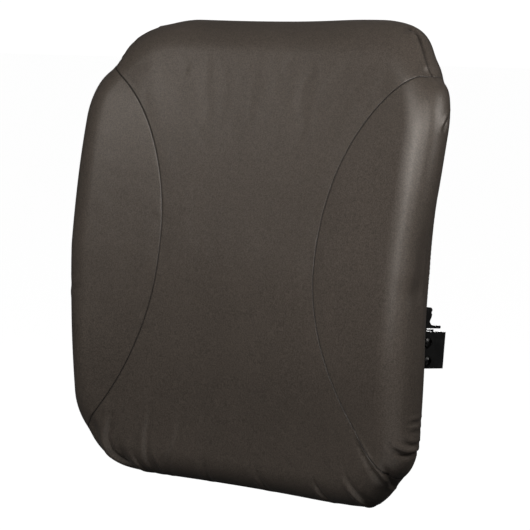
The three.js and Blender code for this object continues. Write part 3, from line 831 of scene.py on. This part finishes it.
def rounded_copy(name, source):
    """A voxel copy of a packed pad, softened."""
    pad = bpy.data.objects.new(name, source.data.copy())
    bpy.context.scene.collection.objects.link(pad)
    weld = pad.modifiers.new("weld", "WELD")
    weld.merge_threshold = 0.02 * MM
    remesh = pad.modifiers.new("remesh", "REMESH")
    remesh.mode = "VOXEL"
    remesh.voxel_size = FOAM_VOXEL
    soften = pad.modifiers.new("soften", "SMOOTH")
    soften.factor, soften.iterations = 0.5, 3
    made = bpy.data.meshes.new_from_object(pad.evaluated_get(bpy.context.evaluated_depsgraph_get()))
    bpy.data.objects.remove(pad)
    return made


def foam_piece(name, node, material, under):
    """A rounded foam version of one CAD pad, held under the cover's inner face."""
    made = rounded_copy(name, NODES[node])
    co = np.zeros(len(made.vertices) * 3)
    made.vertices.foreach_get("co", co)
    co = co.reshape(-1, 3)
    gap = COVER_THICK + FOAM_GAP
    for i, p in enumerate(co):
        place, normal, _, _ = under.find_nearest(Vector(p))
        depth = (Vector(p) - place).dot(normal)
        if -gap < depth < FOAM_PRESS:
            co[i] = place - normal * gap
    faces = [list(f.vertices) for f in made.polygons]
    piece = mesh_piece(name, co, faces, material)
    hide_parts(node)
    return piece


def make_foam():
    under = cover_tree()
    finishes = {
        "soft_foam": foam_cells("soft_foam", (0.62, 0.57, 0.42)),
        "firm_foam": foam_cells("firm_foam", (0.06, 0.065, 0.075)),
    }
    for name, node, slot in FOAMS:
        foam_piece(name, node, finishes[slot], under)


# ---- materials ----
class Finish:
    """A Principled material with short calls for its procedural detail, in object coordinates."""

    def __init__(self, name, colour, roughness, metallic=0.0):
        self.material = bpy.data.materials.new(name)
        self.material.use_nodes = True
        self.tree = self.material.node_tree
        self.shader = self.tree.nodes["Principled BSDF"]
        self.set("Base Color", (*colour, 1))
        self.set("Roughness", roughness)
        self.set("Metallic", metallic)
        self.colour = colour
        self.place = self.node("ShaderNodeTexCoord").outputs["Object"]

    def set(self, socket, value):
        self.shader.inputs[socket].default_value = value

    def node(self, kind, **values):
        made = self.tree.nodes.new(kind)
        for key, value in values.items():
            setattr(made, key, value)
        return made

    def link(self, a, b):
        self.tree.links.new(a, b)

    def noise(self, size, detail=2.0):
        """Noise texture whose features are about size metres."""
        made = self.node("ShaderNodeTexNoise")
        made.inputs["Scale"].default_value = 1 / size
        made.inputs["Detail"].default_value = detail
        self.link(self.place, made.inputs["Vector"])
        return made.outputs["Fac"]

    def cells(self, size):
        made = self.node("ShaderNodeTexVoronoi")
        made.inputs["Scale"].default_value = 1 / size
        self.link(self.place, made.inputs["Vector"])
        return made.outputs["Distance"]

    def range(self, value, low, high, start=0.3, end=0.7):
        """A value's start-to-end stretch taken to low-to-high."""
        made = self.node("ShaderNodeMapRange")
        for key, number in (("From Min", start), ("From Max", end), ("To Min", low), ("To Max", high)):
            made.inputs[key].default_value = number
        self.link(value, made.inputs["Value"])
        return made.outputs["Result"]

    def math(self, kind, a, b):
        made = self.node("ShaderNodeMath", operation=kind)
        for socket, value in zip(made.inputs, (a, b)):
            if isinstance(value, (int, float)):
                socket.default_value = value
            else:
                self.link(value, socket)
        return made.outputs[0]

    def plus(self, base, extra, share):
        """One texture's value with a share of another's added to it."""
        return self.math("ADD", base, self.math("MULTIPLY", extra, share))

    def tint(self, factor, spread, warm=0.0):
        """Colour from (1 - spread) to (1 + spread) of the base, by factor."""
        made = self.node("ShaderNodeMix", data_type="RGBA")
        low = [c * (1 - spread) for c in self.colour]
        high = [c * (1 + spread) for c in self.colour]
        high[0] *= 1 + warm
        made.inputs["A"].default_value = (*low, 1)
        made.inputs["B"].default_value = (*high, 1)
        self.link(factor, made.inputs["Factor"])
        return made.outputs["Result"]

    def shade(self, colour, factor, dark):
        """Colour mixed towards a darker one by factor."""
        made = self.node("ShaderNodeMix", data_type="RGBA")
        made.inputs["B"].default_value = (*dark, 1)
        self.link(colour, made.inputs["A"])
        self.link(factor, made.inputs["Factor"])
        return made.outputs["Result"]

    def bump(self, height, distance, strength=1.0):
        made = self.node("ShaderNodeBump")
        made.inputs["Distance"].default_value = distance
        made.inputs["Strength"].default_value = strength
        self.link(height, made.inputs["Height"])
        self.link(made.outputs["Normal"], self.shader.inputs["Normal"])

    def use(self, colour, roughness):
        self.link(colour, self.shader.inputs["Base Color"])
        self.link(roughness, self.shader.inputs["Roughness"])
        return self.material


YARN_PITCH = 1.3 * MM
# SEAM_SHADOW_COLOUR is the painted shadow colour of the seams and the dart's hollow
CLOTH_COLOUR, SEAM_SHADOW_COLOUR = (0.070, 0.0578, 0.0475), (0.010, 0.008, 0.007)


def weave(finish, pitch):
    """Height of two crossing sets of yarns at 45 degrees, from the laid-flat map."""
    flat = finish.node("ShaderNodeUVMap", uv_map="flat").outputs["UV"]
    yarns = []
    for direction in ("X", "Y"):
        turn = finish.node("ShaderNodeMapping")
        turn.inputs["Rotation"].default_value = (0, 0, math.radians(45))
        finish.link(flat, turn.inputs["Vector"])
        wave = finish.node("ShaderNodeTexWave", bands_direction=direction)
        wave.inputs["Scale"].default_value = 2 * math.pi / (20 * pitch)
        wave.inputs["Distortion"].default_value = 0.4
        finish.link(turn.outputs["Vector"], wave.inputs["Vector"])
        yarns.append(wave.outputs["Fac"])
    return finish.math("MULTIPLY", *yarns)


def cover_cloth():
    """Dark brown stretch cloth with a fine mottled grain, a soft sheen, and painted shade darkening its
    seams and the dart's hollow.
    """
    f = Finish("cover_cloth", CLOTH_COLOUR, 0.5)
    broad = f.math("MULTIPLY", f.noise(90 * MM, 2), 0.5)
    grain = f.plus(broad, f.noise(1.4 * MM, 1), 2.7)
    colour = f.tint(f.range(grain, 0, 1, 1.05, 2.15), 0.31, 0.02)
    # painted shade: the base colour mixed towards near-black in the seams and the dart's hollow
    dark = f.node("ShaderNodeAttribute", attribute_name="painted_seam_shade").outputs["Fac"]
    colour = f.shade(colour, dark, SEAM_SHADOW_COLOUR)
    f.bump(f.plus(weave(f, YARN_PITCH), f.noise(2.5 * MM, 3), 0.8), 0.12 * MM, 0.5)
    f.set("Sheen Weight", 0.05)
    f.set("Sheen Roughness", 0.4)
    f.set("Sheen Tint", (1.0, 0.93, 0.87, 1))
    f.set("Specular IOR Level", 0.55)
    f.set("Specular Tint", (1.0, 0.93, 0.86, 1))
    return f.use(colour, f.range(f.noise(3 * MM, 3), 0.32, 0.38))


def knit_elastic():
    f = Finish("elastic_tape", (0.020, 0.019, 0.018), 0.8)
    f.bump(f.noise(0.7 * MM, 2), 0.15 * MM, 0.7)
    f.set("Sheen Weight", 0.3)
    return f.use(f.tint(f.noise(3 * MM), 0.3), f.range(f.noise(4 * MM), 0.7, 0.9))


def foam_cells(name, colour):
    f = Finish(name, colour, 0.95)
    f.bump(f.math("ADD", f.cells(1.4 * MM), f.noise(0.8 * MM, 3)), 0.5 * MM, 0.8)
    return f.use(f.tint(f.noise(25 * MM, 3), 0.10), f.range(f.cells(1.4 * MM), 0.85, 1.0))


def hook_tape():
    f = Finish("hook_tape", (0.012, 0.012, 0.012), 0.9)
    f.bump(f.cells(1.3 * MM), 0.7 * MM, 1.0)
    return f.use(f.tint(f.cells(1.3 * MM), 0.5), f.range(f.noise(3 * MM), 0.75, 0.95))


def powder_coat(name, level, roughness, peel):
    """Textured paint: fine orange peel, with faint pale scuffs."""
    f = Finish(name, (level, level * 0.98, level * 0.95), roughness)
    scuff = f.range(f.noise(14 * MM, 6), 0, 1, 0.56, 0.66)
    colour = f.tint(scuff, 0.25)
    f.bump(f.plus(f.noise(peel, 3), scuff, 0.1), 0.12 * MM, 0.6)
    return f.use(colour, f.range(f.noise(11 * MM, 4), roughness - 0.07, roughness + 0.09))


def rubber():
    f = Finish("edge_rubber", (0.016, 0.016, 0.015), 0.7)
    f.bump(f.noise(1.2 * MM, 4), 0.08 * MM, 0.5)
    return f.use(f.tint(f.noise(20 * MM, 4), 0.3), f.range(f.noise(8 * MM, 4), 0.6, 0.82))


def moulding():
    f = Finish("moulding", (0.014, 0.014, 0.0145), 0.5)
    f.bump(f.cells(0.9 * MM), 0.06 * MM, 0.6)
    return f.use(f.tint(f.noise(9 * MM, 3), 0.2), f.range(f.noise(5 * MM, 3), 0.42, 0.6))


def metal(name, level, roughness, wear):
    """Steel with turning marks and stains."""
    f = Finish(name, (level, level * 0.985, level * 0.96), roughness, 1.0)
    f.bump(f.noise(0.5 * MM, 2), 0.02 * MM, 0.6)
    worn = f.range(f.noise(2.5 * MM, 5), 0, 1, 0.5, 0.68)
    return f.use(f.tint(worn, wear), f.range(f.noise(3 * MM, 3), roughness - 0.08, roughness + 0.12))


def sewing_thread():
    f = Finish("sewing_thread", (0.012, 0.010, 0.009), 0.7)
    f.bump(f.noise(0.3 * MM, 1), 0.05 * MM, 0.8)
    return f.use(f.tint(f.noise(2 * MM), 0.3), f.range(f.noise(1 * MM), 0.5, 0.7))


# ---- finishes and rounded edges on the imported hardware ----
ROUNDED = ("coated_plate", "lever_coating", "moulding")
EDGE_ROUND, ROUND_ABOVE, SHARP_ABOVE = 0.35 * MM, math.radians(40), math.radians(32)


def smooth_by_angle():
    """Node group that shades a mesh smooth except across its sharp edges."""
    group = bpy.data.node_groups.new("smooth_by_angle", "GeometryNodeTree")
    group.interface.new_socket("Geometry", in_out="INPUT", socket_type="NodeSocketGeometry")
    group.interface.new_socket("Geometry", in_out="OUTPUT", socket_type="NodeSocketGeometry")
    new, link = group.nodes.new, group.links.new
    start, end = new("NodeGroupInput"), new("NodeGroupOutput")
    faces, edges = new("GeometryNodeSetShadeSmooth"), new("GeometryNodeSetShadeSmooth")
    edges.domain = "EDGE"
    edges.inputs["Shade Smooth"].default_value = False
    angle, sharp = new("GeometryNodeInputMeshEdgeAngle"), new("FunctionNodeCompare")
    sharp.inputs["B"].default_value = SHARP_ABOVE
    link(angle.outputs["Unsigned Angle"], sharp.inputs["A"])
    link(sharp.outputs["Result"], edges.inputs["Selection"])
    link(start.outputs[0], faces.inputs["Geometry"])
    link(faces.outputs["Geometry"], edges.inputs["Geometry"])
    link(edges.outputs["Geometry"], end.inputs[0])
    return group


def hardware_finishes():
    """The finish for each material slot that the imported hardware has."""
    return {
        "hook_tape": hook_tape(),
        "pan_coating": powder_coat("pan_coating", 0.020, 0.55, 0.9 * MM),
        "edge_rubber": rubber(),
        "coated_plate": powder_coat("coated_plate", 0.010, 0.45, 0.6 * MM),
        "moulding": moulding(),
        "lever_coating": powder_coat("lever_coating", 0.012, 0.4, 0.6 * MM),
        "spring_steel": metal("spring_steel", 0.5, 0.3, 0.15),
        "black_fastener": metal("black_fastener", 0.055, 0.36, 0.6),
    }


def finish_hardware():
    finishes = hardware_finishes()
    by_angle = smooth_by_angle()
    for piece in NODES.values():
        if piece.hide_render:
            continue
        slot = piece.material_slots[0].material.name.split(".")[0]
        piece.material_slots[0].material = finishes[slot]
        weld = piece.modifiers.new("weld", "WELD")
        weld.merge_threshold = 0.01 * MM
        if slot in ROUNDED:
            bevel = piece.modifiers.new("bevel", "BEVEL")
            bevel.width, bevel.segments = EDGE_ROUND, 2
            bevel.limit_method, bevel.angle_limit = "ANGLE", ROUND_ABOVE
        shading = piece.modifiers.new("smooth_by_angle", "NODES")
        shading.node_group = by_angle
        even = piece.modifiers.new("even_normals", "WEIGHTED_NORMAL")
        even.keep_sharp = True


# ---- light, floor and world ----
FLOOR_DROP = 0.5  # the back hangs about this far above the floor on its chair
FLOOR_HALF, FLOOR_GLOW = 40.0, 0.97
WORLD_FILL, WORLD_SEEN = 0.02, 1.05

# Each light: azimuth and elevation in degrees, distance, size across and up, watts, and the point in
# the middle plane of the mounting bolts that it aims at, as x and z.
LIGHTS = {
    "high_key": (40, 10, 0.85, (0.8, 0.5), 4.6, (0, 0.50)),
    "edge_strip": (3, 21, 1.7, (0.20, 0.9), 9.5, (0.1, 0.25)),
    "front_strip": (-22, 27, 1.7, (0.3, 0.9), 5.8, (0.1, 0.33)),
    "front_fill": (45, 5, 1.2, (0.5, 0.5), 0.5, (0, 0.30)),
    "side": (100, 18, 1.2, (0.5, 0.5), 4.8, (0, 0.32)),
    "floor_bounce": (45, -40, 1.4, (1.8, 1.2), 2.4, (0, 0.0)),
    "rear": (216, -5, 1.8, (0.8, 0.6), 20, (0, 0.15)),
}


def area_light(name, azimuth, elevation, distance, size, watts, aim):
    """A soft box placed round the object as the camera is."""
    away = away_from_front(math.radians(azimuth), math.radians(elevation))
    data = bpy.data.lights.new(name, "AREA")
    data.shape = "RECTANGLE"
    data.size, data.size_y = size
    data.energy = watts
    lamp = bpy.data.objects.new(name, data)
    lamp.location = Vector((aim[0], -PIVOT_Y, aim[1])) + away * distance
    lamp.rotation_euler = away.to_track_quat("Z", "Y").to_euler()
    bpy.context.scene.collection.objects.link(lamp)


def plain_world():
    """White behind the object, and a dimmer even fill on it."""
    world = bpy.data.worlds.new("world")
    bpy.context.scene.world = world
    world.use_nodes = True
    tree = world.node_tree
    tree.nodes.clear()
    out, mix = tree.nodes.new("ShaderNodeOutputWorld"), tree.nodes.new("ShaderNodeMixShader")
    path = tree.nodes.new("ShaderNodeLightPath")
    tree.links.new(path.outputs["Is Camera Ray"], mix.inputs[0])
    for i, strength in enumerate((WORLD_FILL, WORLD_SEEN)):
        sky = tree.nodes.new("ShaderNodeBackground")
        sky.inputs["Color"].default_value = (1, 1, 1, 1)
        sky.inputs["Strength"].default_value = strength
        tree.links.new(sky.outputs[0], mix.inputs[i + 1])
    tree.links.new(mix.outputs[0], out.inputs[0])


def floor():
    z = CAD_LO.z - FLOOR_DROP
    mesh = bpy.data.meshes.new("floor")
    corners = [(x * FLOOR_HALF, y * FLOOR_HALF, z) for x, y in ((-1, -1), (1, -1), (1, 1), (-1, 1))]
    mesh.from_pydata(corners, [], [(0, 1, 2, 3)])
    plane = bpy.data.objects.new("floor", mesh)
    bpy.context.scene.collection.objects.link(plane)
    f = Finish("floor", (0.9, 0.9, 0.9), 0.8)
    f.set("Emission Color", (1, 1, 1, 1))
    f.set("Emission Strength", FLOOR_GLOW)
    mesh.materials.append(f.material)
    plane.visible_diffuse = False
    plane.visible_glossy = False


# ---- the whole back and its light ----
COVER = make_cover()
CLOTH = cover_cloth()
for panel_piece in COVER:
    panel_piece.data.materials.append(CLOTH)
make_threads(sewing_thread())
elastic_binding(knit_elastic())
make_foam()
finish_hardware()
for light_name, light in LIGHTS.items():
    area_light(light_name, *light)
plain_world()
floor()
bpy.context.scene.view_settings.view_transform = "Standard"
